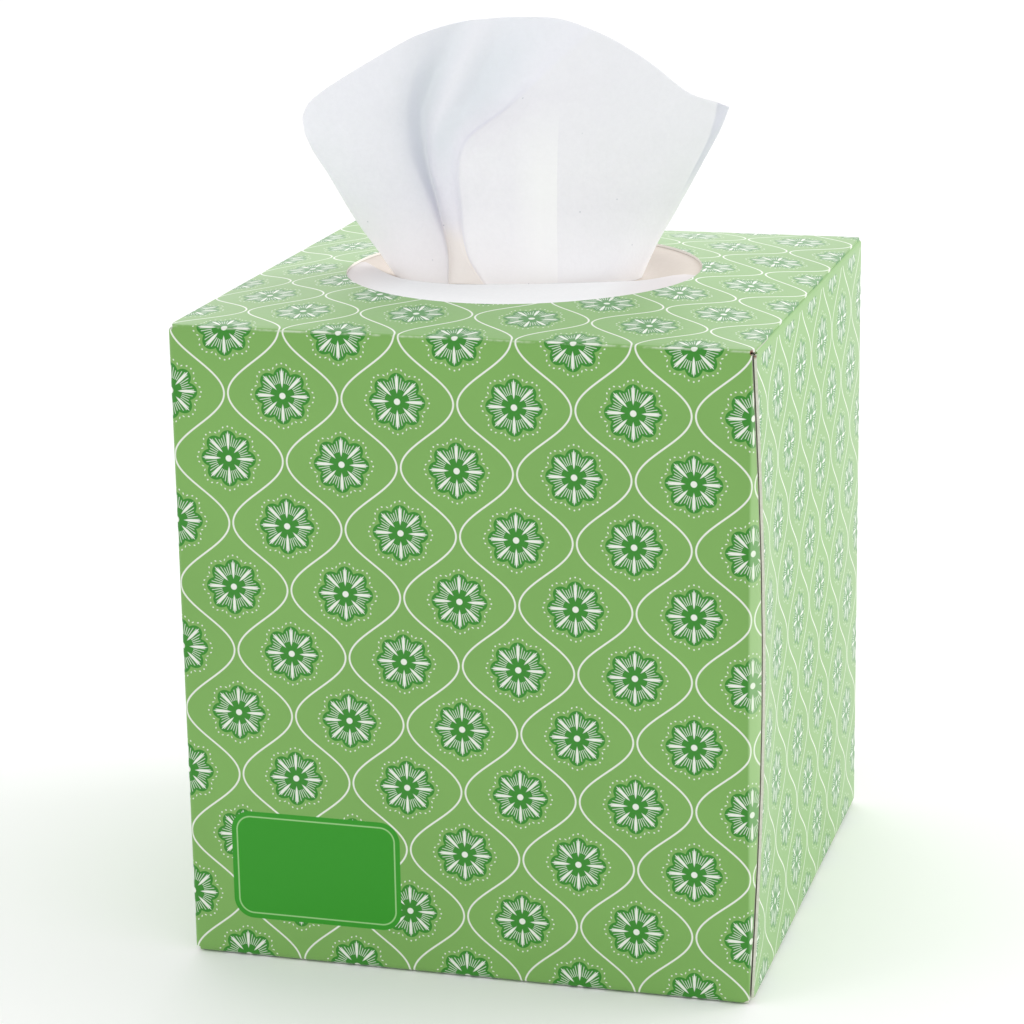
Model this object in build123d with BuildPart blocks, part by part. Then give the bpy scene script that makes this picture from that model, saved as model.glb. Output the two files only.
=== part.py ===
"""Upright tissue box: a folded paperboard carton round a bent clip of interfolded tissues."""
import os

from build123d import *

# Carton, outside sizes. The origin is at the middle of the underside, and the front faces -Y.
carton_width = 111.0
carton_depth = 111.0
carton_height = 125.0
board = 0.5
corner_radius = 0.9
edge_radius = 0.4

# The packed stack bows the top panel up. The opening is die-cut a little to the left of the highest point.
crown_rise = 3.4
opening_diameter = 70.0
opening_offset = -2.1

# Glue seam at the front right corner: the front panel turns round it and runs on under the right wall.
seam_radius = 1.6
seam_lap = 2.2
glue_tab = 13.0

# Flaps glued under the top panel and onto the bottom panel
top_flap = 17.0
bottom_flap = 44.0
back_flap = 17.0
flap_taper = 6.0

# Clip of tissues, bent double over its own middle and pressed up under the bowed top
stack_clearance = 0.5
crest_gap = 0.6
shoulder_radius = 20.0
leg_gap = 1.2
leg_thickness = 52.0
next_sheet_step = 1.4
next_sheet_edge = -11.0

# The sheet that stands out of the opening, fanned out above it
sheet_thickness = 0.3
sheet_side_gap = 8.2
sheet_offset = -4.4
fan_width = 88.0
fan_lean = -0.6
fan_height = 51.5
fan_corner_drop = 21.0
fan_tip_drop = 16.7
fan_corner_radius = 4.0
fan_spare = 4.0

# Folds of that sheet, seen from above: a share of its half width, and a depth from the middle line.
# From the left: edge, bulge, turn into the fold, floor of the fold, its far side, front fold, belly, edge.
mouth_folds = [
    (-1.0, 1.0),
    (-0.72, -2.0),
    (-0.48, 2.0),
    (-0.37, 12.0),
    (-0.24, 3.0),
    (-0.15, -7.0),
    (0.3, -9.5),
    (1.0, -2.0),
]
waist_folds = [
    (-1.0, -3.0),
    (-0.72, -6.0),
    (-0.53, -1.0),
    (-0.43, 7.0),
    (-0.28, 2.0),
    (-0.15, -6.0),
    (0.3, -7.5),
    (1.0, 1.0),
]
crown_folds = [
    (-1.0, -6.0),
    (-0.62, -7.0),
    (-0.38, -2.0),
    (-0.23, 3.0),
    (0.05, 0.0),
    (0.4, -4.0),
    (0.7, -2.0),
    (1.0, 3.0),
]

# Top edge of the fan: shares of its half width, and of the drop from its peak to that side's corner
fan_left_shoulder = (-0.55, 0.3)
fan_peak_share = 0.2
fan_right_shoulder = (0.53, 0.34)

# Places worked out from the sizes above
half_width = carton_width / 2
half_depth = carton_depth / 2
inner_half_width = half_width - board
inner_half_depth = half_depth - board
wall_top = carton_height - board
hinge_radius = board + edge_radius
panel_half_width = half_width - edge_radius
panel_front = -half_depth + hinge_radius
panel_back = half_depth - edge_radius
tab_face = inner_half_width - board
hinge_right = tab_face + board - seam_radius
hinge_left = -hinge_right
stack_bottom = 2 * board
stack_top = carton_height - 2 * board - crest_gap
stack_half_width = tab_face - stack_clearance
stack_half_depth = inner_half_depth - stack_clearance
sheet_bottom = stack_top - next_sheet_step
mouth_top = carton_height + crown_rise
fan_top = carton_height + fan_height
fan_half = fan_width / 2
fan_middle = sheet_offset + fan_lean
mouth_half = opening_diameter / 2 - sheet_side_gap
waist_half = (mouth_half + fan_half) / 2
fan_waist = (mouth_top + fan_top) / 2
waist_middle = (sheet_offset + fan_middle) / 2

os.makedirs("parts", exist_ok=True)


def bowed_board(under, over):
    """Board over the whole top between two levels: straight along its four edges, bowed up in the middle."""
    under_left = (-panel_half_width, under)
    under_right = (panel_half_width, under)
    over_right = (panel_half_width, over)
    over_left = (-panel_half_width, over)
    with BuildPart() as layer:
        for y, rise in ((panel_front, 0), ((panel_front + panel_back) / 2, crown_rise), (panel_back, 0)):
            with BuildSketch(Plane.XZ.offset(-y)):
                with BuildLine():
                    if rise:
                        ThreePointArc(under_left, (0, under + rise), under_right)
                        Line(under_right, over_right)
                        ThreePointArc(over_right, (0, over + rise), over_left)
                        Line(over_left, under_left)
                    else:
                        Polyline(under_left, under_right, over_right, over_left, close=True)
                make_face()
        loft()
    return layer.part


def panel_plan(level):
    """Plan of the top or bottom panel from its hinge at the front to its three cut edges."""
    with BuildSketch(Plane.XY.offset(level)) as plan:
        with Locations((0, (panel_front + panel_back) / 2)):
            RectangleRounded(2 * panel_half_width, panel_back - panel_front, seam_radius)
    return plan.sketch


def flap_plan(level, side_flap):
    """Plan of the left, right and back flaps, each cut back at its corners and tapered to its free end."""
    front_root = panel_front + seam_radius
    back_root = panel_back - seam_radius
    side_root = panel_half_width - seam_radius
    with BuildSketch(Plane.XY.offset(level)) as plan:
        for side in (-1, 1):
            root = side * panel_half_width
            tip = side * (inner_half_width - side_flap)
            with BuildLine():
                Polyline(
                    (root, front_root),
                    (tip, front_root + flap_taper),
                    (tip, back_root - flap_taper),
                    (root, back_root),
                    close=True,
                )
            make_face()
        with BuildLine():
            Polyline(
                (-side_root, panel_back),
                (-side_root + flap_taper, inner_half_depth - back_flap),
                (side_root - flap_taper, inner_half_depth - back_flap),
                (side_root, panel_back),
                close=True,
            )
        make_face()
    return plan.sketch


def folded_plan(level, middle, half, folds, thickness):
    """Plan of the standing sheet at one level: a line through its folds, as thick as the sheet."""
    reach = half + fan_spare
    with BuildSketch(Plane.XY.offset(level)) as plan:
        with BuildLine():
            Spline([(middle + share * reach, depth) for share, depth in folds])
        trace(line_width=thickness)
    return plan.sketch


def fan_point(across, down, drop):
    """A point of the fan's top edge, from its shares of the half width and of the drop to a corner."""
    return (fan_middle + across * fan_half, fan_top - down * drop)


def mouth_plan(level, thickness):
    """Plan of the standing sheet where it passes through the opening and down into the stack."""
    return folded_plan(level, sheet_offset, mouth_half, mouth_folds, thickness)


# Board over the top: the panel, and under it the flaps, left where the lower layer is not cut away
two_layers = bowed_board(wall_top - board, carton_height)
lower_layer = bowed_board(wall_top - 2 * board, wall_top)
with BuildPart() as flap_window:
    add(lower_layer)
    extrude(
        flap_plan(wall_top - 2 * board, top_flap),
        amount=2 * board + crown_rise,
        mode=Mode.SUBTRACT,
    )
with BuildPart() as top_board:
    add(two_layers)
    extrude(
        panel_plan(wall_top - board),
        amount=2 * board + crown_rise,
        mode=Mode.INTERSECT,
    )
    add(flap_window.part, mode=Mode.SUBTRACT)

# Carton
with BuildPart() as carton:
    # Four walls, drawn in plan with the lapped seam
    with BuildSketch(Plane.XY.offset(board)) as wall_plan:
        with BuildLine():
            Polyline(
                (-half_width, -half_depth),
                (half_width - board, -half_depth),
                (half_width - board, -half_depth + seam_lap),
                (half_width, -half_depth + seam_lap),
                (half_width, half_depth),
                (-half_width, half_depth),
                close=True,
            )
        make_face()
        front_corners = wall_plan.vertices().group_by(Axis.Y)[0].sort_by(Axis.X)
        back_corners = wall_plan.vertices().group_by(Axis.Y)[-1]
        fillet([front_corners[0], *back_corners], corner_radius)
        seam_corner = wall_plan.vertices().group_by(Axis.Y)[0].sort_by(Axis.X)[-1]
        fillet(seam_corner, seam_radius)
    extrude(amount=wall_top - board)
    ends = faces().filter_by(Axis.Z)
    fillet(ends.edges(), edge_radius)
    # Their inside, with the glue tab running on from the front panel behind the right wall
    with BuildSketch(Plane.XY.offset(board)) as inside_plan:
        with BuildLine():
            Polyline(
                (-inner_half_width, -inner_half_depth),
                (tab_face, -inner_half_depth),
                (tab_face, -inner_half_depth + glue_tab),
                (inner_half_width, -inner_half_depth + glue_tab),
                (inner_half_width, inner_half_depth),
                (-inner_half_width, inner_half_depth),
                close=True,
            )
        make_face()
        tab_corner = inside_plan.vertices().group_by(Axis.Y)[0].sort_by(Axis.X)[-1]
        fillet(tab_corner, seam_radius - board)
    extrude(amount=wall_top - board, mode=Mode.SUBTRACT)

    # Front panel between its two hinge folds, above and below
    with BuildSketch(Plane.YZ.offset(hinge_left)) as hinge_section:
        with Locations((-half_depth, 0)):
            Rectangle(hinge_radius, carton_height, align=(Align.MIN, Align.MIN))
        fillet(hinge_section.vertices().group_by(Axis.X)[0], hinge_radius)
        with Locations((-half_depth + board, hinge_radius)):
            Rectangle(
                edge_radius,
                carton_height - 2 * hinge_radius,
                align=(Align.MIN, Align.MIN),
                mode=Mode.SUBTRACT,
            )
    extrude(amount=hinge_right - hinge_left)

    # Bottom panel, with the flaps that are glued inside it
    extrude(panel_plan(0), amount=board)
    extrude(flap_plan(board, bottom_flap), amount=board)

    # Top panel and the flaps glued under it, bowed up together, and the die-cut opening
    add(top_board.part)
    with BuildSketch(Plane.XY.offset(stack_top)):
        with Locations((opening_offset, 0)):
            Circle(opening_diameter / 2)
    extrude(amount=carton_height + crown_rise + board - stack_top, mode=Mode.SUBTRACT)
carton.part.label = "carton"
export_step(carton.part, "parts/carton.step")

# Space over the back of the clip, down to the level behind the next sheet's edge
with BuildPart() as behind_edge:
    add(bowed_board(stack_top - next_sheet_step, stack_top + crown_rise))
    with BuildSketch(Plane.XY.offset(stack_bottom)):
        with Locations((0, next_sheet_edge)):
            Rectangle(carton_width, carton_depth, align=(Align.CENTER, Align.MIN))
    extrude(amount=fan_top, mode=Mode.INTERSECT)

# Clip of tissues: an upside-down U that follows the bowed top, with the next sheet's edge as a step across it
with BuildPart() as tissue_stack:
    with BuildSketch(Plane.XZ) as clip_section:
        with Locations((0, stack_bottom)):
            Rectangle(
                2 * stack_half_width,
                stack_top + crown_rise - stack_bottom,
                align=(Align.CENTER, Align.MIN),
            )
        fillet(clip_section.vertices().group_by(Axis.Y)[-1], shoulder_radius)
        with Locations((0, stack_bottom)):
            Rectangle(
                leg_gap,
                stack_top - stack_bottom - leg_thickness,
                align=(Align.CENTER, Align.MIN),
                mode=Mode.SUBTRACT,
            )
    extrude(amount=stack_half_depth, both=True)
    add(bowed_board(stack_top, stack_top + 2 * crown_rise), mode=Mode.SUBTRACT)
    add(behind_edge.part, mode=Mode.SUBTRACT)
tissue_stack.part.label = "tissue_stack"
export_step(tissue_stack.part, "parts/tissue_stack.step")

# Standing sheet, trimmed to its outline as seen from the front and seated on the crest of the stack
with BuildPart() as popup_tissue:
    extrude(mouth_plan(sheet_bottom, sheet_thickness), amount=mouth_top - sheet_bottom)
    loft(
        [
            mouth_plan(mouth_top, sheet_thickness),
            folded_plan(fan_waist, waist_middle, waist_half, waist_folds, sheet_thickness),
            folded_plan(fan_top, fan_middle, fan_half, crown_folds, sheet_thickness),
        ]
    )
    with BuildSketch(Plane.XZ) as fan_outline:
        corner = (fan_middle - fan_half, fan_top - fan_corner_drop)
        left_shoulder = fan_point(*fan_left_shoulder, fan_corner_drop)
        peak = fan_point(fan_peak_share, 0, 0)
        right_shoulder = fan_point(*fan_right_shoulder, fan_tip_drop)
        tip = (fan_middle + fan_half, fan_top - fan_tip_drop)
        mouth_left = sheet_offset - mouth_half
        mouth_right = sheet_offset + mouth_half
        with BuildLine():
            Polyline(
                corner,
                (mouth_left, mouth_top),
                (mouth_left, sheet_bottom),
                (mouth_right, sheet_bottom),
                (mouth_right, mouth_top),
                tip,
            )
            Spline(tip, right_shoulder, peak, left_shoulder, corner)
        make_face()
        fillet(fan_outline.vertices().sort_by(Axis.X)[0], fan_corner_radius)
    extrude(amount=half_depth, both=True, mode=Mode.INTERSECT)
    add(tissue_stack.part, mode=Mode.SUBTRACT)
popup_tissue.part.label = "popup_tissue"
export_step(popup_tissue.part, "parts/popup_tissue.step")
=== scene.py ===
# %% [markdown]
# A box of paper tissues: one folded carton, the clip of tissues packed in it, and the sheet that stands
# ready to be pulled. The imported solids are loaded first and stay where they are, as a fixed frame. Every
# piece made here is drawn in the same place, in metres, so nothing has to be fitted afterwards.

# %% Load the frame
import math

import bmesh
import bpy
import numpy as np
from mathutils import Matrix, Vector, noise


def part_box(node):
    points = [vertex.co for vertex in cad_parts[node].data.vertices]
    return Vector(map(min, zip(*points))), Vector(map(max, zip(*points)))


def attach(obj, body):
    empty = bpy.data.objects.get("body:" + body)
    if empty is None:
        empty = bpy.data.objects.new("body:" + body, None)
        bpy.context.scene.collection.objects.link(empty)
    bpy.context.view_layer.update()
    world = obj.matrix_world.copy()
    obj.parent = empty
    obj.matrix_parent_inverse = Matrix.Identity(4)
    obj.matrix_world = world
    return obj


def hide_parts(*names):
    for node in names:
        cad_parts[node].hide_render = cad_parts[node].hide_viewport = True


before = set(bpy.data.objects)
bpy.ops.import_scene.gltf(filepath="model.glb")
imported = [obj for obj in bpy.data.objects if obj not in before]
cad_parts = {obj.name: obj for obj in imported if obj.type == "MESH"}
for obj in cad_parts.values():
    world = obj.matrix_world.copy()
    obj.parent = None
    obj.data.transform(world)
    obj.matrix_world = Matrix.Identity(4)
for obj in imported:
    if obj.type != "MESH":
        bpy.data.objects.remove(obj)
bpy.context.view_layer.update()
MM = 0.001

# %% [markdown]
# The camera comes before any modelling, because each piece is judged through it. A picture of a box gives
# its own camera: the corners fix the turn, the height, the distance and the lens. Here those values are
# turned into three axes, which become the columns of the camera's matrix.

# %% Camera
turn, height_angle, tilt = (math.radians(a) for a in (15.96, 15.45, -0.96))
aim_right, aim_up, distance = -6.5 * MM, 74.44 * MM, 664.19 * MM
lens_pixels, picture_pixels, sensor = 3204.22, 1024, 36.0

away = Vector((
    math.sin(turn) * math.cos(height_angle),
    -math.cos(turn) * math.cos(height_angle),
    math.sin(height_angle),
))
level_right = Vector((0, 0, 1)).cross(away).normalized()
level_up = away.cross(level_right)
right = math.cos(tilt) * level_right + math.sin(tilt) * level_up
up = -math.sin(tilt) * level_right + math.cos(tilt) * level_up
camera_place = aim_right * right + aim_up * up + distance * away

camera_data = bpy.data.cameras.new("camera")
camera_data.sensor_width = sensor
camera_data.lens = sensor * lens_pixels / picture_pixels
camera_data.clip_start, camera_data.clip_end = 0.01, 20
camera = bpy.data.objects.new("camera", camera_data)
bpy.context.scene.collection.objects.link(camera)
camera.matrix_world = Matrix.Translation(camera_place) @ Matrix((right, up, away)).transposed().to_4x4()
bpy.context.scene.camera = camera
print("camera at", [round(c, 4) for c in camera.location], "lens", round(camera_data.lens, 2))

# %% [markdown]
# A studio for pale paper is mostly white surroundings: they fill the shadows and lay a milky gloss on the
# faces that are seen at a low angle. The world gives that light, brightest from the backdrop. Two large soft
# lamps, at the front left and at the right, add just enough direction to show the folds. The floor is a wide
# pale sheet, so that no edge of it shows.

# %% Light and floor
scene = bpy.context.scene
scene.view_settings.view_transform = "Standard"
world = bpy.data.worlds.new("studio")
world.use_nodes = True
sky = world.node_tree
way = sky.nodes.new("ShaderNodeSeparateXYZ")
sky.links.new(sky.nodes.new("ShaderNodeTexCoord").outputs["Generated"], way.inputs[0])
backdrop = sky.nodes.new("ShaderNodeMapRange")
backdrop.interpolation_type = "SMOOTHSTEP"
for socket, value in (("From Min", 0.2), ("From Max", 0.8), ("To Min", 0.9), ("To Max", 1.6)):
    backdrop.inputs[socket].default_value = value
sky.links.new(way.outputs["Y"], backdrop.inputs["Value"])
sky.nodes["Background"].inputs["Color"].default_value = (1.0, 1.0, 1.0, 1)
sky.links.new(backdrop.outputs["Result"], sky.nodes["Background"].inputs["Strength"])
scene.world = world
lamp_aim = Vector((0, 0, 0.1))


def soft_lamp(name, where, size, watts):
    """A square area lamp that looks at the upper half of the box."""
    data = bpy.data.lights.new(name, "AREA")
    data.size = size
    data.energy = watts
    lamp = bpy.data.objects.new(name, data)
    scene.collection.objects.link(lamp)
    lamp.location = where
    lamp.rotation_euler = (lamp_aim - Vector(where)).to_track_quat("-Z", "Y").to_euler()
    return lamp


soft_lamp("key", where=(-1.2, -1.0, 1.0), size=0.7, watts=2.5)
soft_lamp("side", where=(1.35, 0.5, 0.7), size=0.9, watts=8.0)


def start_piece():
    """Leaves edit mode and selects nothing, so that the next operator acts on the new piece alone."""
    if bpy.context.mode != "OBJECT":
        bpy.ops.object.mode_set(mode="OBJECT")
    bpy.ops.object.select_all(action="DESELECT")


floor_size, floor_gap = 8.0, 0.2 * MM
start_piece()
bpy.ops.mesh.primitive_plane_add(size=floor_size, location=(0, 0, -floor_gap))
floor = bpy.context.object
floor.name = "floor"

# %% [markdown]
# Materials are chains of small sums, and helpers keep them readable. Among them, one adds a sum, one lays a
# colour over another through a mask, and one turns a distance into a mask with a soft edge, which keeps
# printed edges clean at every size.

# %% Helpers for materials


def new_material(name):
    """A material, its node tree and its main shader."""
    material = bpy.data.materials.new(name)
    material.use_nodes = True
    return material, material.node_tree, material.node_tree.nodes["Principled BSDF"]


def sum_of(tree, operation, *values, clamp=False):
    """One math node. Each value is a number or the output of another node."""
    node = tree.nodes.new("ShaderNodeMath")
    node.operation = operation
    node.use_clamp = clamp
    for socket, value in zip(node.inputs, values):
        if isinstance(value, (int, float)):
            socket.default_value = value
        else:
            tree.links.new(value, socket)
    return node.outputs[0]


def cover(tree, under, over, mask):
    """The colour under, covered by the colour over where the mask is 1."""
    node = tree.nodes.new("ShaderNodeMix")
    node.data_type = "RGBA"
    for socket, value in ((node.inputs[0], mask), (node.inputs[6], under), (node.inputs[7], over)):
        if isinstance(value, (int, float)):
            socket.default_value = value
        elif isinstance(value, tuple):
            socket.default_value = (*value, 1)
        else:
            tree.links.new(value, socket)
    return node.outputs[2]


def mask_within(tree, distance, edge, soft):
    """1 where the distance is under the edge, 0 past it, over a soft border."""
    return sum_of(tree, "MULTIPLY_ADD", distance, -1 / soft, edge / soft + 0.5, clamp=True)


def noise_of(tree, vector, scale, detail=2.0, roughness=0.5):
    """Cloudy values round 0.5, with about that many clouds to a metre."""
    node = tree.nodes.new("ShaderNodeTexNoise")
    node.inputs["Scale"].default_value = scale
    node.inputs["Detail"].default_value = detail
    node.inputs["Roughness"].default_value = roughness
    tree.links.new(vector, node.inputs["Vector"])
    return node.outputs["Fac"]


def bump_of(tree, height, depth, normal=None):
    """A bump from a height, with its depth in metres."""
    node = tree.nodes.new("ShaderNodeBump")
    node.inputs["Strength"].default_value = 1.0
    node.inputs["Distance"].default_value = depth
    tree.links.new(height, node.inputs["Height"])
    if normal is not None:
        tree.links.new(normal, node.inputs["Normal"])
    return node.outputs["Normal"]


def object_place(tree):
    """Places in the piece's own frame, which is the frame of the whole box."""
    return tree.nodes.new("ShaderNodeTexCoord").outputs["Object"]


def parts_of(tree, vector):
    """The x, y and z of a vector."""
    node = tree.nodes.new("ShaderNodeSeparateXYZ")
    tree.links.new(vector, node.inputs[0])
    return tuple(node.outputs)


def outside(tree, mask):
    """The mask of everything that a mask leaves out."""
    return sum_of(tree, "SUBTRACT", 1.0, mask)


def from_srgb(*levels):
    """A colour from its 0 to 255 screen levels, as the linear values that shaders use."""
    return tuple(((v / 255 + 0.055) / 1.055) ** 2.4 if v > 10 else v / 255 / 12.92 for v in levels)


floor_paper, tree, shader = new_material("floor_paper")
cloud = noise_of(tree, object_place(tree), 3.0)
tree.links.new(cover(tree, (0.93, 0.93, 0.93), (0.96, 0.96, 0.96), cloud), shader.inputs["Base Color"])
shader.inputs["Roughness"].default_value = 0.9
shader.inputs["Specular IOR Level"].default_value = 0.1
floor.data.materials.append(floor_paper)
print("floor:", floor_paper.name)

# %% [markdown]
# The carton is one die-cut sheet of board: a top panel with a round hole, folded down into the front, round
# into the left, back and right walls, and closed with a glue tab and tucked flaps. It could be cut from a
# cube, but then every corner would look alike. Here it is folded as in the factory. A fold is a spin of an
# edge about its crease, and a panel is that edge extruded. The sheet gets its thickness at the end.

# %% Carton: sizes and selection
width, depth, height = 111 * MM, 111 * MM, 125 * MM
board = 0.5 * MM
crown = 3.4 * MM
hole_radius, hole_x = 35 * MM, -2.1 * MM
half_width, half_depth = width / 2, depth / 2
hinge = 0.9 * MM
corner_fold = 0.9 * MM
seam_fold = 0.5 * MM
cut_back = 0.4 * MM
panel_half = half_width - cut_back
panel_front = -half_depth + hinge
panel_back = half_depth - cut_back
panel_corner = 0.6 * MM
SPLIT, RINGS = 20, 11
CORNER_STEPS, FOLD_STEPS = 4, 5
NEAR = 0.02 * MM


def select_edges(test):
    """Selects the edges of the edited mesh whose two ends pass the test, and nothing else."""
    bpy.ops.mesh.select_mode(type="EDGE")
    bpy.ops.mesh.select_all(action="DESELECT")
    mesh = bmesh.from_edit_mesh(bpy.context.object.data)
    found = [e for e in mesh.edges if all(test(v.co) for v in e.verts)]
    for edge in found:
        edge.select_set(True)
    bmesh.update_edit_mesh(bpy.context.object.data)
    return len(found)


def select_faces(test):
    """Selects the faces of the edited mesh whose middles pass the test, and nothing else."""
    bpy.ops.mesh.select_mode(type="FACE")
    bpy.ops.mesh.select_all(action="DESELECT")
    mesh = bmesh.from_edit_mesh(bpy.context.object.data)
    found = [f for f in mesh.faces if test(f.calc_center_median())]
    for face in found:
        face.select_set(True)
    bmesh.update_edit_mesh(bpy.context.object.data)
    return len(found)


def at(value, goal):
    """Whether two lengths are the same."""
    return abs(value - goal) < NEAR


def fold(axis, centre, degrees):
    """Turns the selected edge about a crease, leaving a rounded fold behind it."""
    bpy.ops.mesh.spin(steps=FOLD_STEPS, angle=-math.radians(degrees), center=centre, axis=axis)


def pull(x=0.0, y=0.0, z=0.0):
    """Extrudes the selected edge into a strip of panel."""
    bpy.ops.mesh.extrude_region_move(TRANSFORM_OT_translate={"value": (x, y, z)})


# %% [markdown]
# The top panel starts as a circle for the die-cut hole and a square with rounded corners for its outline.
# Both have the same number of points, so Bridge can span them with even rings, and the hole stays round.

# %% Carton: top panel with its hole
start_piece()
bpy.ops.mesh.primitive_circle_add(vertices=4 * (SPLIT + 1 + CORNER_STEPS), radius=hole_radius)
carton = bpy.context.object
carton.name = "carton_folded"
bpy.ops.object.mode_set(mode="EDIT")
bpy.ops.transform.translate(value=(hole_x, 0, height))
panel_middle = (panel_front + panel_back) / 2
bpy.ops.mesh.primitive_plane_add(size=2 * panel_half, location=(0, panel_middle, height))
bpy.ops.transform.resize(
    value=(1, (panel_back - panel_front) / (2 * panel_half), 1),
    center_override=(0, panel_middle, height),
)
bpy.ops.mesh.bevel(offset=panel_corner, segments=CORNER_STEPS, affect="VERTICES")
front_end = panel_half - panel_corner
side_start, side_end = panel_front + panel_corner - NEAR, panel_back - panel_corner + NEAR


def on_straight_edge(p):
    """Whether a point is on the outline of the panel, between its rounded corners."""
    if at(abs(p.x), panel_half):
        return side_start < p.y < side_end
    return (at(p.y, panel_front) or at(p.y, panel_back)) and abs(p.x) < front_end + NEAR


select_edges(on_straight_edge)
bpy.ops.mesh.subdivide(number_cuts=SPLIT)
select_faces(lambda p: True)
bpy.ops.mesh.delete(type="ONLY_FACE")
bpy.ops.mesh.select_mode(type="EDGE")
bpy.ops.mesh.select_all(action="SELECT")
bpy.ops.mesh.bridge_edge_loops(number_cuts=RINGS, interpolation="LINEAR")
print("top panel:", len(bmesh.from_edit_mesh(carton.data).faces), "faces")

# %% [markdown]
# From the front edge of the top panel the sheet runs on: over the front crease, down the front wall in rows,
# under the bottom crease and back as the bottom panel. The rows lie where something happens later, such as
# the start of a flap's fold.

# %% Carton: front and bottom
flap_fold = 0.6 * MM
flap_top = height - board - flap_fold
flap_bottom = board + flap_fold
front_top, front_bottom = height - hinge, hinge
by_flap = 1.0 * MM
wall_rows = [level * MM for level in range(112, 0, -14)]
rows = [flap_top, flap_top - by_flap, *wall_rows, flap_bottom + by_flap, flap_bottom, front_bottom]

select_edges(lambda p: at(p.y, panel_front) and abs(p.x) < front_end + NEAR)
fold((1, 0, 0), (0, panel_front, front_top), 90)
level = front_top
for row in rows:
    pull(z=row - level)
    level = row
fold((1, 0, 0), (0, panel_front, front_bottom), 90)
for _ in range(3):
    pull(y=(panel_back - panel_front) / 3)
lowest = min(v.co.z for v in bmesh.from_edit_mesh(carton.data).verts)
print("front and bottom: lowest point", round(lowest / MM, 3), "mm")

# %% [markdown]
# The left edge of the front wall is led round the other three walls. It ends at the right wall's cut edge,
# close behind the front corner. The right edge of the front wall turns its corner and runs on under the
# right wall as the glue tab, deeper than the wall by more than the board, which is what makes the seam show.

# %% Carton: walls and glue seam
corner_x, corner_y = half_width - corner_fold, half_depth - corner_fold
seam_lap = 2.2 * MM
glue_tab = 13 * MM


def on_front(p):
    return at(p.y, -half_depth) and front_bottom - NEAR < p.z < front_top + NEAR


select_edges(lambda p: on_front(p) and at(p.x, -front_end))
pull(x=front_end - corner_x)
fold((0, 0, 1), (-corner_x, -corner_y, 0), -90)
for _ in range(4):
    pull(y=corner_y / 2)
fold((0, 0, 1), (-corner_x, corner_y, 0), -90)
for _ in range(4):
    pull(x=corner_x / 2)
fold((0, 0, 1), (corner_x, corner_y, 0), -90)
wall_run = corner_y + half_depth - seam_lap
closer_to_seam = (0.3, 0.3, 0.14, 0.1, 0.06, 0.05, 0.05)
for share in closer_to_seam:
    pull(y=-share * wall_run)
select_edges(lambda p: on_front(p) and at(p.x, front_end))
fold((0, 0, 1), (front_end, -half_depth + seam_fold, 0), 90)
for _ in range(2):
    pull(y=glue_tab / 2)
tab_x = front_end + seam_fold
print("walls:", len(bmesh.from_edit_mesh(carton.data).faces), "faces, tab at", round(tab_x / MM, 2), "mm")

# %% [markdown]
# The left, right and back walls carry flaps at both ends, which are glued under the top panel and onto the
# bottom one. The thin last rows of those walls go first, then each edge is folded inwards and pulled out
# twice, narrower each time, so that neighbouring flaps meet on a mitre and don't overlap.

# %% Carton: flaps


def past_flap_fold(p):
    """Whether a face is in the thin end rows of the left, right or back wall."""
    at_an_end = flap_top < p.z < front_top or front_bottom < p.z < flap_bottom
    off_front = p.y > -half_depth + corner_fold / 2
    return at_an_end and off_front and (abs(p.x) > corner_x or p.y > corner_y)


select_faces(past_flap_fold)
bpy.ops.mesh.delete(type="FACE")
mitre = 17 * MM


def turn_in_flap(side, level, upward, reach):
    """Folds one wall's flap in at a level. side is (1, 0), (-1, 0) or (0, 1), the way the wall faces."""
    face_x, face_y = side
    wall_face = half_width if face_x else half_depth
    run = corner_y if face_x else corner_x

    def on_end(p):
        out = p.x * face_x + p.y * face_y
        along = p.y if face_x else p.x
        return at(out, wall_face) and at(p.z, level) and -run - NEAR < along < run + NEAR

    found = select_edges(on_end)
    axis = (0, 1, 0) if face_x else (1, 0, 0)
    way = (-face_x if face_x else face_y) * (1 if upward else -1)
    crease = wall_face - flap_fold
    fold(axis, (face_x * crease, face_y * crease, level), 90 * way)
    first = min(mitre, reach)
    for step, narrow in ((first, first), (reach - first, 0)):
        if step <= 0:
            continue
        pull(x=-face_x * step, y=-face_y * step)
        share = (run - narrow) / run
        if narrow:
            bpy.ops.transform.resize(
                value=(1, share, 1) if face_x else (share, 1, 1),
                center_override=(face_x * (crease - step), face_y * (crease - step), level),
            )
    return found


short_reach, long_reach = 16.5 * MM, 43 * MM
for side, bottom_reach in (((-1, 0), long_reach), ((1, 0), long_reach), ((0, 1), short_reach)):
    top_edges = turn_in_flap(side, flap_top, True, short_reach)
    bottom_edges = turn_in_flap(side, flap_bottom, False, bottom_reach)
    print("flaps of wall", side, "from", top_edges, "and", bottom_edges, "edges")

# %% [markdown]
# Two shapes come from use rather than from the die. The tightly packed clip bows the top panel and its flaps
# up in the middle. It also swells the glued corner between its ends: the front panel's crease turns there
# into a flat facet, and the right wall's cut edge stands out beside it. Both are smooth formulas on the
# points, which no operator gives.

# %% Carton: bow and seam
seam_middle = -half_depth + seam_fold
facet_front, facet_crease, facet_back = (
    Vector(corner) * MM for corner in ((54.7, -55.5), (55.0, -55.45), (54.7, -55.0))
)
front_swell, back_swell = Vector((-0.3, 0.0)) * MM, Vector((1.7, 2.1)) * MM
tab_swell, wall_swell = 1.6 * MM, 1.55 * MM
cut_edge_back, cut_edge_ahead = 2.1 * MM, 1.3 * MM
swell_middle, swell_reach = -53.0 * MM, 11.0 * MM
bottom_corner = 1.1 * MM
bow_start = flap_top + 0.2 * MM


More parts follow.
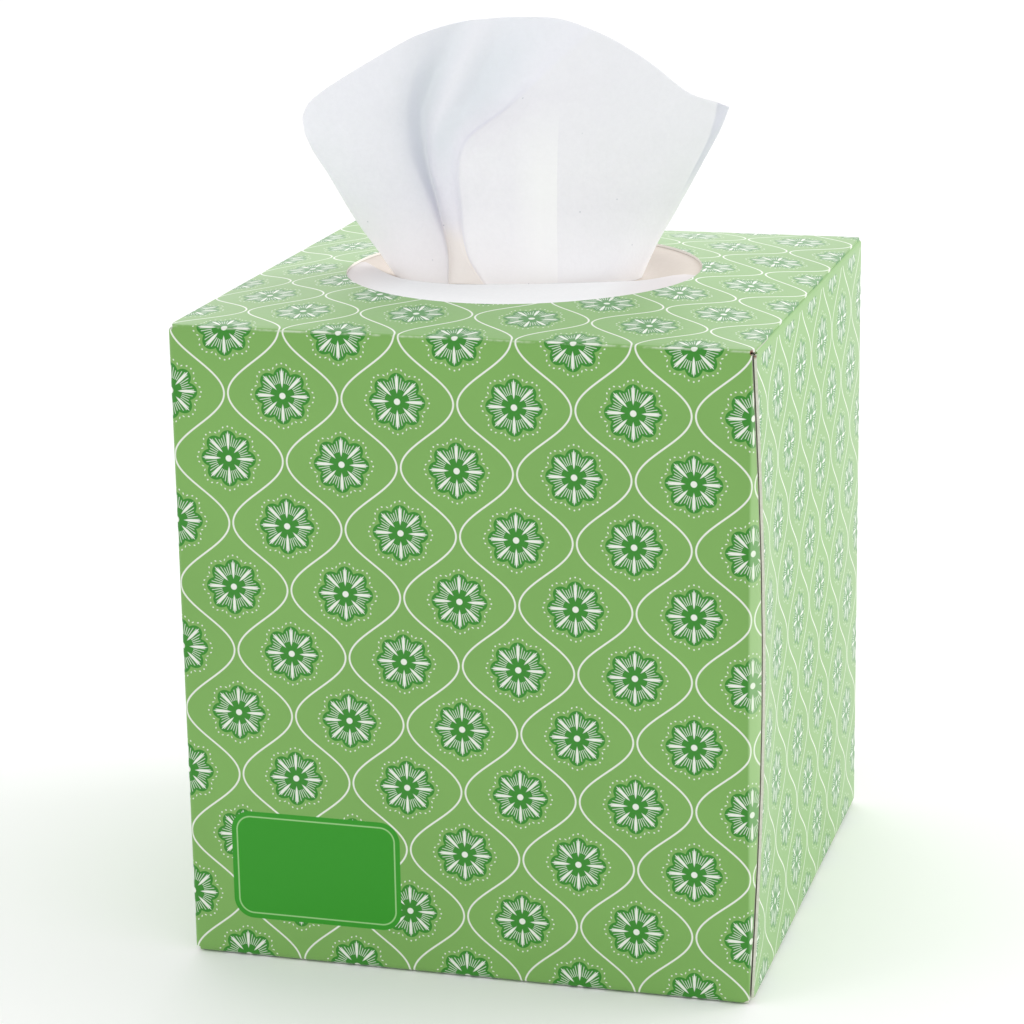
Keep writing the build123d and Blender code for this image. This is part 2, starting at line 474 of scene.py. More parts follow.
def swell(z):
    """How far the glued corner is swollen at a height: 0 at both ends, 1 in the middle."""
    return math.sin(math.pi * min(1.0, max(0.0, z / height)))


def facet_place(z, share):
    """A point of the glued corner, from the front panel (share 0) to the start of the glue tab (share 1)."""
    s = swell(z)
    start, crease = facet_front + s * front_swell, facet_crease + s * front_swell
    end = facet_back + s * back_swell
    return start * (1 - share) ** 2 + crease * 2 * share * (1 - share) + end * share ** 2


def tab_reach(y):
    """How much of the swelling is left behind the corner, on the tab and on the right wall."""
    return math.exp(-((y - swell_middle) / swell_reach) ** 2)


def bow_at(x, y):
    """Rise of the bowed top over its edges."""
    across = max(0.0, 1 - (x / panel_half) ** 2)
    along = max(0.0, 1 - ((y - panel_middle) / (panel_back - panel_middle)) ** 2)
    return crown * across * along


mesh = bmesh.from_edit_mesh(carton.data)
for vertex in mesh.verts:
    p = vertex.co
    on_wall = front_bottom - NEAR < p.z < front_top + NEAR
    if on_wall and p.x > front_end - NEAR and p.y < seam_middle + NEAR:
        angle = math.atan2(p.x - front_end, seam_middle - p.y)
        p.x, p.y = facet_place(p.z, angle / (math.pi / 2))
    elif on_wall and at(p.x, tab_x) and p.y < seam_middle + glue_tab + NEAR:
        p.x = facet_back.x + tab_swell * swell(p.z) * tab_reach(p.y)
    elif on_wall and at(p.x, half_width) and p.y < 0:
        if at(p.y, -half_depth + seam_lap):
            p.y += cut_edge_back * swell(p.z) - cut_edge_ahead
        p.x += wall_swell * swell(p.z) * tab_reach(p.y)
    if p.z < front_bottom - NEAR and p.x > front_end - NEAR and p.y < panel_front - NEAR:
        p.x -= bottom_corner * (1 - p.z / front_bottom)
    if p.z > bow_start and p.y > panel_front - NEAR:
        p.z += bow_at(p.x, p.y)
bmesh.update_edit_mesh(carton.data)
bpy.ops.mesh.select_all(action="SELECT")
bpy.ops.mesh.remove_doubles(threshold=0.001 * MM)
bpy.ops.mesh.normals_make_consistent(inside=False)
mesh = bmesh.from_edit_mesh(carton.data)
front_middle = Vector((0, -half_depth, height / 2))
front_face = min(mesh.faces, key=lambda f: (f.calc_center_median() - front_middle).length)
if front_face.normal.y > 0:
    bpy.ops.mesh.flip_normals()
print("bowed top reaches", round(max(v.co.z for v in mesh.verts) / MM, 2), "mm")

# %% [markdown]
# The print has to run unbroken over the folds, as it does on a sheet that was printed flat. So each corner
# of each face is given its place on the flat blank, in metres, as a UV map: straight distances on panels,
# and angles times the radius on folds.

# %% Carton: place on the flat blank
quarter = math.pi / 2
top_start = flap_top + 0.3 * MM
tab_inside, tab_outside = 54.0 * MM, 55.2 * MM


def round_walls(p):
    """Distance along the blank, right of the front wall's middle, for a point of the walls."""
    left_start = corner_x + corner_fold * quarter
    back_start = left_start + 2 * corner_y + corner_fold * quarter
    right_start = back_start + 2 * corner_x + corner_fold * quarter
    if p.x < -corner_x and p.y < -corner_y:
        return -corner_x - corner_fold * math.atan2(-corner_x - p.x, -corner_y - p.y)
    if p.x < -corner_x and p.y > corner_y:
        return -back_start + corner_fold * math.atan2(-corner_x - p.x, p.y - corner_y)
    if p.x > corner_x and p.y > corner_y:
        return -right_start + corner_fold * math.atan2(p.y - corner_y, p.x - corner_x)
    return {
        "left": -left_start - (p.y + corner_y),
        "back": -back_start - (p.x + corner_x),
        "right": -right_start - (corner_y - p.y),
    }


def blank_place(p, middle):
    """Place on the blank of a corner p of the face with that middle."""
    across, along = p.x, p.z
    if at(middle.y, -half_depth) and abs(middle.x) < front_end:
        return across, along
    if abs(middle.x) < panel_half and middle.z > top_start:
        if middle.y < panel_front:
            angle = math.atan2(p.z - front_top, panel_front - p.y)
            return across, front_top + hinge * angle
        return across, front_top + hinge * quarter + p.y - panel_front
    if middle.z < front_bottom and middle.y < panel_front:
        return across, front_bottom - hinge * math.atan2(front_bottom - p.z, panel_front - p.y)
    if middle.z < board / 2:
        return across, front_bottom - hinge * quarter - (p.y - panel_front)
    facet_start, facet_end = facet_place(p.z, 0), facet_place(p.z, 1)
    if middle.x > facet_place(middle.z, 0).x and middle.y < facet_place(middle.z, 1).y:
        return facet_start.x + (Vector((p.x, p.y)) - facet_start).length, along
    tab_limit = tab_outside + wall_swell * swell(middle.z) * tab_reach(middle.y)
    if tab_inside < middle.x < tab_limit and middle.y < seam_middle + glue_tab:
        return facet_start.x + (facet_end - facet_start).length + p.y - facet_end.y, along
    if middle.x < 0 and middle.y < -corner_y and middle.x > -corner_x:
        return across, along
    walls = round_walls(p)
    if isinstance(walls, dict):
        if middle.x < -corner_x:
            walls = walls["left"]
        elif middle.y > corner_y:
            walls = walls["back"]
        else:
            walls = walls["right"]
    return walls, along


blank = mesh.loops.layers.uv.new("blank")
for face in mesh.faces:
    middle = face.calc_center_median()
    for loop in face.loops:
        loop[blank].uv = blank_place(loop.vert.co, middle)
bmesh.update_edit_mesh(carton.data)
bpy.ops.object.mode_set(mode="OBJECT")
spread = np.array([loop.uv[:] for loop in carton.data.uv_layers["blank"].data])
print("blank spans", (np.ptp(spread, axis=0) / MM).round(1), "mm")

# %% [markdown]
# Solidify gives the sheet its board thickness inwards and puts the cut edges and the inside on materials of
# their own: printed outside, plain board inside, raw fibre at the cuts. The top panel's right edge was cut
# through wet ink and stays green, and so does the front left corner.

# %% Carton: thickness
printed_side, bare_side, cut_side = range(3)
start_piece()
carton.select_set(True)
bpy.context.view_layer.objects.active = carton
thick = carton.modifiers.new("board", "SOLIDIFY")
thick.thickness = board
thick.offset = -1
thick.use_even_offset = True
thick.use_quality_normals = True
thick.material_offset = bare_side
thick.material_offset_rim = cut_side
for _ in (printed_side, bare_side, cut_side):
    carton.data.materials.append(None)
bpy.ops.object.modifier_apply(modifier=thick.name)
edge_reach, corner_reach, corner_drop = 0.15 * MM, 1.5 * MM, 2.0 * MM
for face in carton.data.polygons:
    middle = face.center
    right_edge = abs(middle.x - panel_half) < edge_reach and middle.z > flap_top
    in_corner = max(middle.x + half_width, middle.y + half_depth) < corner_reach
    left_corner = in_corner and middle.z > flap_top - corner_drop
    if face.material_index == cut_side and (right_edge or left_corner):
        face.material_index = printed_side
bpy.ops.object.shade_smooth_by_angle(angle=math.radians(38))
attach(carton, "root")
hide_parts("carton")
print("carton:", len(carton.data.polygons), "faces")

# %% [markdown]
# The print is a plain trellis repeat: five columns to a wall, every other one dropped by half a step, a
# rosette in each cell and thin pale lines that swing between the cells. Everything is worked out from the
# place on the blank, in millimetres. First comes the nearest rosette's centre, then the distance and the
# angle from it, and each motif is a mask made from those two.

# %% Print: trellis and rosettes
ground_green = from_srgb(120, 169, 85)
deep_green = from_srgb(44, 132, 26)
print_white = from_srgb(230, 234, 224)
column, drop = 22.2, 25.0
ink_soft = 0.12
petals, petal_reach, petal_dip = 8, 5.4, 1.1
spindle_middle, spindle_half, spindle_belly = 3.4, 1.8, 0.29
rays, ray_half, ray_inset, ray_start = 48, 0.055, 0.6, 2.4
dots, dot_out, dot_radius, eye_radius = 40, 0.75, 0.15, 0.6
line_swing, line_half = 0.93 * column / 4, 0.17


def length_of(tree, x, y):
    """Length of a flat vector."""
    return sum_of(tree, "SQRT", sum_of(tree, "MULTIPLY_ADD", x, x, sum_of(tree, "MULTIPLY", y, y)))


def wrapped(tree, value, half):
    """The value, brought between minus half and half by whole steps."""
    return sum_of(tree, "WRAP", value, half, -half)


def largest(tree, *masks):
    """The masks laid over each other."""
    result = masks[0]
    for mask in masks[1:]:
        result = sum_of(tree, "MAXIMUM", result, mask)
    return result


def trellis_masks(tree, u, v):
    """Masks of the dark petals and of the white lines, for a place u, v on the blank in millimetres."""
    near_x, near_y = wrapped(tree, u, column / 2), wrapped(tree, v, drop / 2)
    far_x = wrapped(tree, sum_of(tree, "ADD", u, column / 2), column / 2)
    far_y = wrapped(tree, sum_of(tree, "ADD", v, drop / 2), drop / 2)
    near, far = length_of(tree, near_x, near_y), length_of(tree, far_x, far_y)
    first = sum_of(tree, "LESS_THAN", near, far)
    radius = sum_of(tree, "MINIMUM", near, far)

    def chosen(one, other):
        step = sum_of(tree, "SUBTRACT", one, other)
        return sum_of(tree, "MULTIPLY_ADD", step, first, other)

    angle = sum_of(tree, "ARCTAN2", chosen(near_y, far_y), chosen(near_x, far_x))

    petal_angle = wrapped(tree, angle, math.pi / petals)
    lobe = sum_of(tree, "MULTIPLY", petal_angle, petals / math.pi)
    lobe_edge = sum_of(tree, "MULTIPLY_ADD", sum_of(tree, "MULTIPLY", lobe, lobe), -petal_dip, petal_reach)
    past_edge = sum_of(tree, "SUBTRACT", radius, lobe_edge)
    dark = mask_within(tree, past_edge, 0.0, ink_soft)

    aside = sum_of(tree, "ABSOLUTE", sum_of(tree, "MULTIPLY", radius, sum_of(tree, "SINE", petal_angle)))
    along = sum_of(tree, "MULTIPLY_ADD", radius, 1 / spindle_half, -spindle_middle / spindle_half)
    along_squared = sum_of(tree, "MULTIPLY", along, along)
    belly = sum_of(tree, "MULTIPLY_ADD", along_squared, -spindle_belly, spindle_belly)
    spindle = mask_within(tree, sum_of(tree, "SUBTRACT", aside, belly), 0.0, ink_soft)

    ray_angle = wrapped(tree, sum_of(tree, "ADD", angle, math.pi / rays), math.pi / rays)
    ray_aside = sum_of(tree, "ABSOLUTE", sum_of(tree, "MULTIPLY", radius, ray_angle))
    ray = mask_within(tree, ray_aside, ray_half, ink_soft)
    ray = sum_of(tree, "MULTIPLY", ray, mask_within(tree, past_edge, -ray_inset, ink_soft))
    ray = sum_of(tree, "MULTIPLY", ray, sum_of(tree, "GREATER_THAN", radius, ray_start))

    dot_angle = wrapped(tree, angle, math.pi / dots)
    dot_side = sum_of(tree, "MULTIPLY", radius, dot_angle)
    dot_away = length_of(tree, dot_side, sum_of(tree, "SUBTRACT", past_edge, dot_out))
    dot = mask_within(tree, dot_away, dot_radius, ink_soft)
    eye = mask_within(tree, radius, eye_radius, ink_soft)

    swing = sum_of(tree, "MULTIPLY", v, 2 * math.pi / drop)
    line_x = sum_of(tree, "MULTIPLY_ADD", sum_of(tree, "COSINE", swing), line_swing, column / 4)
    off_line = sum_of(tree, "SUBTRACT", sum_of(tree, "ABSOLUTE", near_x), line_x)
    slope = sum_of(tree, "MULTIPLY", sum_of(tree, "SINE", swing), line_swing * 2 * math.pi / drop)
    steep = sum_of(tree, "SQRT", sum_of(tree, "MULTIPLY_ADD", slope, slope, 1.0))
    off_line = sum_of(tree, "ABSOLUTE", sum_of(tree, "DIVIDE", off_line, steep))
    line = mask_within(tree, off_line, line_half, ink_soft)
    return dark, largest(tree, spindle, ray, dot, eye, line)


# %% [markdown]
# The finish over the print is a satin varnish: a shader with some roughness, and a thin sheen for the powder
# that dulls it, so faces seen at a low angle turn milky. The board under it is never quite flat, which a
# faint wide bump shows in the gloss.
# A bare patch of the deep green fills the label's place. Along the front crease the ink is rubbed pale, with
# a painted highlight in the same line; a painted highlight pales the facet where the glued corner swells out;
# and the glue tab was left unprinted.

# %% Print: ink, patch and varnish
print_finish, tree, shader = new_material("printed_board")
blank_map = tree.nodes.new("ShaderNodeUVMap")
blank_map.uv_map = "blank"
blank_x, blank_y, _ = parts_of(tree, blank_map.outputs["UV"])
u, v = (sum_of(tree, "MULTIPLY", part, 1 / MM) for part in (blank_x, blank_y))
dark, white = trellis_masks(tree, u, v)

patch_middle, patch_half, patch_round = (-29.9, 19.0), (17.0, 11.0), 4.0
keyline_in, keyline_half = 1.1, 0.14
right_wall_from, plain_from = -276.0, 123.2
crease_at, rub_half, rub_soft = 124.8, 0.2, 0.3
facet_light_from, facet_light_soft = 54.9, 0.6
bare_from, bare_swell = 55.3, 2.4


def past_straight(tree, value, middle, half):
    """How far a value lies past the straight part of the patch's side."""
    off = sum_of(tree, "ABSOLUTE", sum_of(tree, "SUBTRACT", value, middle))
    return sum_of(tree, "MAXIMUM", sum_of(tree, "ADD", off, patch_round - half), 0.0)


over_x, over_y = (past_straight(tree, *side) for side in zip((u, v), patch_middle, patch_half))
patch_away = length_of(tree, over_x, over_y)
patch = mask_within(tree, patch_away, patch_round, ink_soft)
keyline = sum_of(tree, "ABSOLUTE", sum_of(tree, "SUBTRACT", patch_away, patch_round - keyline_in))
keyline = sum_of(tree, "MULTIPLY", mask_within(tree, keyline, keyline_half, ink_soft), patch)

spot = object_place(tree)
fibre = noise_of(tree, spot, 900.0, 3.0, 0.6)
cloud = noise_of(tree, spot, 35.0)
ground = cover(tree, tuple(0.93 * c for c in ground_green), tuple(1.07 * c for c in ground_green), cloud)
on_right_wall = sum_of(tree, "LESS_THAN", u, right_wall_from)
by_its_top = sum_of(tree, "GREATER_THAN", v, plain_from)
inked = outside(tree, sum_of(tree, "MULTIPLY", on_right_wall, by_its_top))
ink = cover(tree, ground, deep_green, sum_of(tree, "MULTIPLY", dark, inked))
ink = cover(tree, ink, print_white, sum_of(tree, "MULTIPLY", white, inked))
crease = sum_of(tree, "ABSOLUTE", sum_of(tree, "SUBTRACT", v, crease_at))
# Rubbed ink along the front crease, partly a painted highlight on the fold.
crease_rub_and_highlight = sum_of(tree, "MULTIPLY_ADD", noise_of(tree, spot, 260.0, 3.0, 0.7), 5.0, -2.1, clamp=True)
crease_rub_and_highlight = sum_of(tree, "MULTIPLY", crease_rub_and_highlight, mask_within(tree, crease, rub_half, rub_soft))
ink = cover(tree, ink, from_srgb(214, 226, 202), sum_of(tree, "MULTIPLY", crease_rub_and_highlight, 0.7))
up_the_wall = sum_of(tree, "MULTIPLY", v, math.pi * MM / height)
swollen = sum_of(tree, "MAXIMUM", sum_of(tree, "SINE", up_the_wall), 0.0)
facet_start = sum_of(tree, "MULTIPLY_ADD", swollen, front_swell.x / MM, facet_light_from)
past_start = sum_of(tree, "SUBTRACT", u, facet_start)
# Painted highlight: the swollen facet of the glued corner is paled, as if it were turned to the light.
facet_painted_light = outside(tree, mask_within(tree, past_start, 0.0, facet_light_soft))
facet_painted_light = sum_of(tree, "MULTIPLY", facet_painted_light, sum_of(tree, "MULTIPLY", swollen, 0.28))
ink = cover(tree, ink, from_srgb(216, 240, 196), facet_painted_light)
bare = sum_of(tree, "GREATER_THAN", u, sum_of(tree, "MULTIPLY_ADD", swollen, bare_swell, bare_from))
ink = cover(tree, ink, from_srgb(186, 192, 170), bare)
ink = cover(tree, ink, from_srgb(36, 146, 10), patch)
ink = cover(tree, ink, from_srgb(150, 200, 130), keyline)
tree.links.new(ink, shader.inputs["Base Color"])
tree.links.new(sum_of(tree, "MULTIPLY_ADD", fibre, 0.12, 0.40), shader.inputs["Roughness"])
shader.inputs["IOR"].default_value = 1.45
shader.inputs["Sheen Weight"].default_value = 0.3
shader.inputs["Sheen Roughness"].default_value = 0.4
wave = bump_of(tree, noise_of(tree, spot, 45.0, 1.0), 0.12 * MM)
tree.links.new(bump_of(tree, fibre, 0.006 * MM, wave), shader.inputs["Normal"])
carton.data.materials[printed_side] = print_finish
print("print:", len(tree.nodes), "nodes")

# %% [markdown]
# Inside, the board is bare: a warm grey made of short fibres. The cut edges are paler and rougher, with the
# darker middle ply showing here and there, and painted shade browns the notch above the seam. Round the
# opening the cut is painted nearly white, as painted light that lifts the shade on its rim.

# %% Bare board and cut edges
inside_board, tree, shader = new_material("inside_board")
spot = object_place(tree)
fibre = noise_of(tree, spot, 700.0, 4.0, 0.65)
bare_inside = cover(tree, from_srgb(196, 180, 160), from_srgb(232, 222, 206), fibre)
tree.links.new(bare_inside, shader.inputs["Base Color"])
shader.inputs["Roughness"].default_value = 0.85
tree.links.new(bump_of(tree, fibre, 0.02 * MM), shader.inputs["Normal"])
carton.data.materials[bare_side] = inside_board

notch_place, notch_reach, notch_soft = Vector((55.0, -55.2, 124.2)) * MM, 1.0 * MM, 0.5 * MM
rim_reach, rim_soft = hole_radius + 0.5 * MM, 0.2 * MM
cut_board, tree, shader = new_material("cut_board")
spot = object_place(tree)
fibre = noise_of(tree, spot, 1500.0, 4.0, 0.7)
raw = cover(tree, from_srgb(196, 196, 178), from_srgb(244, 243, 234), fibre)
notch = tree.nodes.new("ShaderNodeVectorMath")
notch.operation = "DISTANCE"
notch.inputs[1].default_value = notch_place
tree.links.new(spot, notch.inputs[0])
# Painted shade: a dark brown patch in the notch above the seam.
notch_painted_shade = mask_within(tree, notch.outputs["Value"], notch_reach, notch_soft)
raw = cover(tree, raw, from_srgb(126, 66, 38), notch_painted_shade)
rim_x, rim_y, _ = parts_of(tree, spot)
from_axis = length_of(tree, sum_of(tree, "SUBTRACT", rim_x, hole_x), rim_y)
# Painted light: the cut round the opening is made nearly white, which lifts the shade on its rim.
rim_painted_light = mask_within(tree, from_axis, rim_reach, rim_soft)
raw = cover(tree, raw, from_srgb(250, 246, 238), sum_of(tree, "MULTIPLY", rim_painted_light, 0.85))
tree.links.new(raw, shader.inputs["Base Color"])
shader.inputs["Roughness"].default_value = 0.95
tree.links.new(bump_of(tree, fibre, 0.03 * MM), shader.inputs["Normal"])
carton.data.materials[cut_side] = cut_board
print("board:", inside_board.name, cut_board.name)

# %% [markdown]
# The clip of tissues is bent double over its own middle, so it fills the carton like an upside-down U and
# presses its top panel up. A block at its size comes first, and its two bends are bevels. Cuts across it give
# points to press the top down with, under the bow of the panel. Behind the next sheet's curved edge it lies
# one step lower, and round the opening the soft paper swells up against the board. A thin box is cut out
# between the legs.

# %% Tissue clip
clip_low, clip_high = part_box("tissue_stack")
clip_top = 123.4 * MM
clip_size = [high - low for low, high in zip(clip_low, clip_high)]
clip_size[2] = clip_top + crown - clip_low[2]
clip_middle = [(low + high) / 2 for low, high in zip(clip_low, clip_high)]
clip_middle[2] = clip_low[2] + clip_size[2] / 2
bend_radius, bend_steps = 20 * MM, 14
leg_gap, leg_height = 1.2 * MM, 70 * MM
edge_y, edge_pull, step_down = -11 * MM, 36 * MM, 1.4 * MM
curve_front, curve_x = -15 * MM, -11 * MM
left_bend, right_bend = 0.029, 0.010
left_limit, right_limit = -25.0, 40.0
ring_low, ring_full, ring_end, ring_gone = 24, 33, 37, 38
ring_left, board_gap = -38.1 * MM, 0.05 * MM


def soft_step(low, high, value):
    """0 below, 1 above, and a smooth rise between."""
    t = min(1.0, max(0.0, (value - low) / (high - low)))
    return t * t * (3 - 2 * t)


def next_edge(x):
    """The next sheet's edge, which curves round the standing sheet."""
    off = max(left_limit, min(right_limit, (x - curve_x) / MM))
    bend = left_bend if off < 0 else right_bend
    return curve_front + bend * off ** 2 * MM


start_piece()
bpy.ops.mesh.primitive_cube_add(size=1, location=clip_middle)
clip = bpy.context.object
clip.name = "tissue_clip"
bpy.ops.object.mode_set(mode="EDIT")
bpy.ops.transform.resize(value=clip_size, center_override=clip_middle)
bpy.ops.object.mode_set(mode="OBJECT")
bpy.ops.object.transform_apply(location=True, rotation=True, scale=True)
bpy.ops.object.mode_set(mode="EDIT")
select_edges(lambda p: at(p.z, clip_top + crown))
mesh = bmesh.from_edit_mesh(clip.data)
for edge in mesh.edges:
    if edge.select and abs(edge.verts[0].co.x - edge.verts[1].co.x) > NEAR:
        edge.select_set(False)
bmesh.update_edit_mesh(clip.data)
bpy.ops.mesh.bevel(offset=bend_radius, segments=bend_steps, affect="EDGES")
cuts_by_depth = [*range(-50, -12, 2), -11.3, -11, *range(-9, 53, 2)]
cuts_by_width = [*range(-50, -39, 2), -38.3, *range(-38, 51, 2)]
for normal, cuts in (((0, 1, 0), cuts_by_depth), ((1, 0, 0), cuts_by_width)):
    for cut in cuts:
        bpy.ops.mesh.select_all(action="SELECT")
        bpy.ops.mesh.bisect(plane_co=[cut * MM * n for n in normal], plane_no=normal)
mesh = bmesh.from_edit_mesh(clip.data)
behind = mesh.verts.layers.float.new("behind")
for vertex in mesh.verts:
    p = vertex.co
    lower = p.y > edge_y - NEAR
    vertex[behind] = 1.0 if lower else 0.0
    if p.z < clip_top - bend_radius:
        continue
    p.y += (next_edge(p.x) - edge_y) * max(0.0, 1 - abs(p.y - edge_y) / edge_pull)
    out = math.hypot(p.x - hole_x, p.y) / MM
    swollen = soft_step(ring_low, ring_full, out) * (1 - soft_step(ring_end, ring_gone, out))
    if p.x <= ring_left:
        swollen = 0.0
    level = clip_top - (step_down if lower else 0.0)
    level += swollen * (height - board - board_gap - level)
    p.z = min(p.z, level + bow_at(p.x, p.y))
bmesh.update_edit_mesh(clip.data)
bpy.ops.object.mode_set(mode="OBJECT")

start_piece()
gap_place, gap_size = (0, 0, clip_low[2]), (leg_gap, 2 * clip_size[1], 2 * leg_height)
bpy.ops.mesh.primitive_cube_add(size=1, location=gap_place)
gap = bpy.context.object
bpy.ops.object.mode_set(mode="EDIT")
bpy.ops.transform.resize(value=gap_size, center_override=gap_place)
bpy.ops.object.mode_set(mode="OBJECT")
start_piece()
clip.select_set(True)
bpy.context.view_layer.objects.active = clip
cut = clip.modifiers.new("between_legs", "BOOLEAN")
cut.object = gap
cut.solver = "EXACT"
bpy.ops.object.modifier_apply(modifier=cut.name)
bpy.data.objects.remove(gap)
bpy.ops.object.shade_smooth_by_angle(angle=math.radians(30))
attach(clip, "root")
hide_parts("tissue_stack")
print("clip:", len(clip.data.polygons), "faces")

# %% [markdown]
# The standing sheet is thin paper drawn up through the hole: gathered at the mouth, fanned out above it, with
# one deep fold left of the middle and a broad front lap. A simulation would fold it anyhow. To get this
# sheet, its folds are laid out as ribs, from its left edge to its right one. The points of a rib are given
# as places in the picture: pixels across and down, and a depth in millimetres behind the middle of the box.
# The camera's ray through the pixel is followed to that depth. A rib's foot needs no height, because it
# stands on the clip.

# %% Standing sheet: ribs
rib_feet = [
    (397, -2.0), (404, -4.7), (414, -7.4), (429, -9.3), (446, -9.8), (449, -9.4), (456, -9.2), (478, -9.4),
    (484, -9.6), (489, -10.2), (507, -10.2), (560, -9.6), (606, -5.0), (633, 1.5), (641, 5.0),
]
rib_picks = [
    [(379, 251, 0.0), (357, 221, 0.6), (326, 170, -1.0), (313, 150, -2.2), (305, 133, -3.0)],
    [(388, 252, -2.0), (367, 219, -1.2), (338, 165, -2.6), (318, 137, -3.6), (304, 112, -4.0)],
    [(401, 253, -4.6), (384, 218, -3.6), (360, 158, -4.5), (345, 118, -5.0), (324, 90, -5.2)],
    [(420, 255, -6.6), (404, 216, -4.8), (386, 148, -4.6), (384, 97, -5.0), (396, 46, -4.8)],
    [(444, 252, -7.2), (431, 212, -4.4), (407, 146, -3.2), (407, 95, -3.4), (426, 32, -2.8)],
    [(448, 248, -5.0), (438, 210, -1.2), (423, 146, 0.6), (427, 95, 0.4), (460, 22, 0.0)],
    [(453, 247, -4.6), (444, 210, -1.2), (433, 146, 0.1), (451, 93, -0.8), (484, 19, 0.0)],
    [(463, 252, -5.2), (456, 212, -2.0), (452, 146, -1.2), (478, 92, 0.4), (516, 17, 0.4)],
    [(467, 254, -6.0), (461, 214, -4.0), (461, 146, -3.2), (508, 100, -1.4), (560, 19, -0.2)],
    [(472, 256, -8.7), (466, 218, -7.2), (466, 150, -6.0), (517, 104, -3.6), (600, 33, -1.6)],
    [(499, 258, -9.4), (492, 222, -9.0), (492, 158, -8.2), (540, 112, -6.2), (628, 48, -2.4)],
    [(562, 256, -9.4), (566, 218, -9.4), (578, 145, -7.9), (606, 96, -5.3), (652, 64, -2.8)],
    [(616, 253, -5.4), (630, 215, -5.0), (654, 146, -3.6), (672, 113, -2.5), (688, 92, -1.6)],
    [(648, 249, 1.2), (664, 214, 0.9), (697, 150, 0.6), (709, 124, 0.5), (716, 102, 0.4)],
    [(657, 243, 4.6), (676, 210, 4.2), (709, 150, 3.6), (721, 127, 3.3), (729, 107, 3.0)],
]
picture_middle = picture_pixels / 2
foot_gap = 0.05 * MM


def seen_at(across, down, depth):
    """The point at a depth that is seen at a place in the picture."""
    ray = ((across - picture_middle) * right + (picture_middle - down) * up) / lens_pixels - away
    return camera_place + ray * ((depth * MM - camera_place.y) / ray.y)


def stood_on_clip(across, depth):
    """The point of the clip's top, at a depth, that is seen in a column of the picture."""
    sideways = right + (across - picture_middle) / lens_pixels * away
    point = Vector((0, depth * MM, 0))
    for _ in range(6):
        point.z = clip_top - step_down + bow_at(point.x, point.y) + foot_gap
        from_camera = point - camera_place
        point.x -= from_camera.dot(sideways) / sideways.x
    return point


ribs = [
    [stood_on_clip(*foot), *(seen_at(*pick) for pick in picks)]
    for foot, picks in zip(rib_feet, rib_picks)
]
columns, levels = 252, 120


def smooth_through(points, count):
    """count points along a smooth curve through the given ones, evenly spaced by their numbers."""
    points = np.asarray(points, float)
    ends = np.concatenate([2 * points[:1] - points[1:2], points, 2 * points[-1:] - points[-2:-1]])
    where = np.linspace(0, len(points) - 1, count)
    start = np.minimum(where.astype(int), len(points) - 2)
    t = (where - start).reshape(-1, *[1] * (points.ndim - 1))
    a, b, c, d = (ends[start + k] for k in range(4))
    square, cube = 2 * a - 5 * b + 4 * c - d, 3 * b - a - 3 * c + d
    return 0.5 * (2 * b + (c - a) * t + square * t ** 2 + cube * t ** 3)


raised = np.stack([smooth_through(rib, levels + 1) for rib in ribs])
surface = smooth_through(raised, columns + 1)
sheet_points = surface.reshape(-1, 3)
print("sheet:", surface.shape, "from", sheet_points.min(0).round(4), "to", sheet_points.max(0).round(4))

# %% [markdown]
# A grid primitive takes those places. Soft crumples a few millimetres wide, drawn from seeded noise, keep the
# paper from looking like sheet metal, and Solidify gives it the thickness of two plies. Four values are kept
# on the points for the paper's colour: where the front lap lies double, and three of painted shade: the shade
# in the folds, the warm shade deep in the fold near the mouth, and the shade on the narrow strip along the
# right edge that is turned from the light.

# %% Standing sheet: mesh
start_piece()
bpy.ops.mesh.primitive_grid_add(x_subdivisions=columns, y_subdivisions=levels, size=1)
sheet = bpy.context.object
sheet.name = "standing_tissue"
flat_places = [(round(vertex.co.y, 5), vertex.co.x) for vertex in sheet.data.vertices]
order = sorted(range(len(flat_places)), key=flat_places.__getitem__)
lap, shade, deep, hem = (np.zeros(len(flat_places), np.float32) for _ in range(4))
free_from, free_over = 127 * MM, 20 * MM
crumple, crush, crush_scale = 0.22 * MM, 0.6 * MM, 260
crumple_waves = ((1.4, 70), (1.0, 160), (0.5, 420))
fold_rib, second_rib, lap_rib, crushed_rib, hem_rib = 4.9, 6.5, 8.6, 9.9, 13.0
rib_steps, height_steps = len(ribs) - 1, len(ribs[0]) - 1


def peak(value, middle, spread):
    """1 at the middle, fading to 0 on both sides of it."""
    return math.exp(-((value - middle) / spread) ** 2)


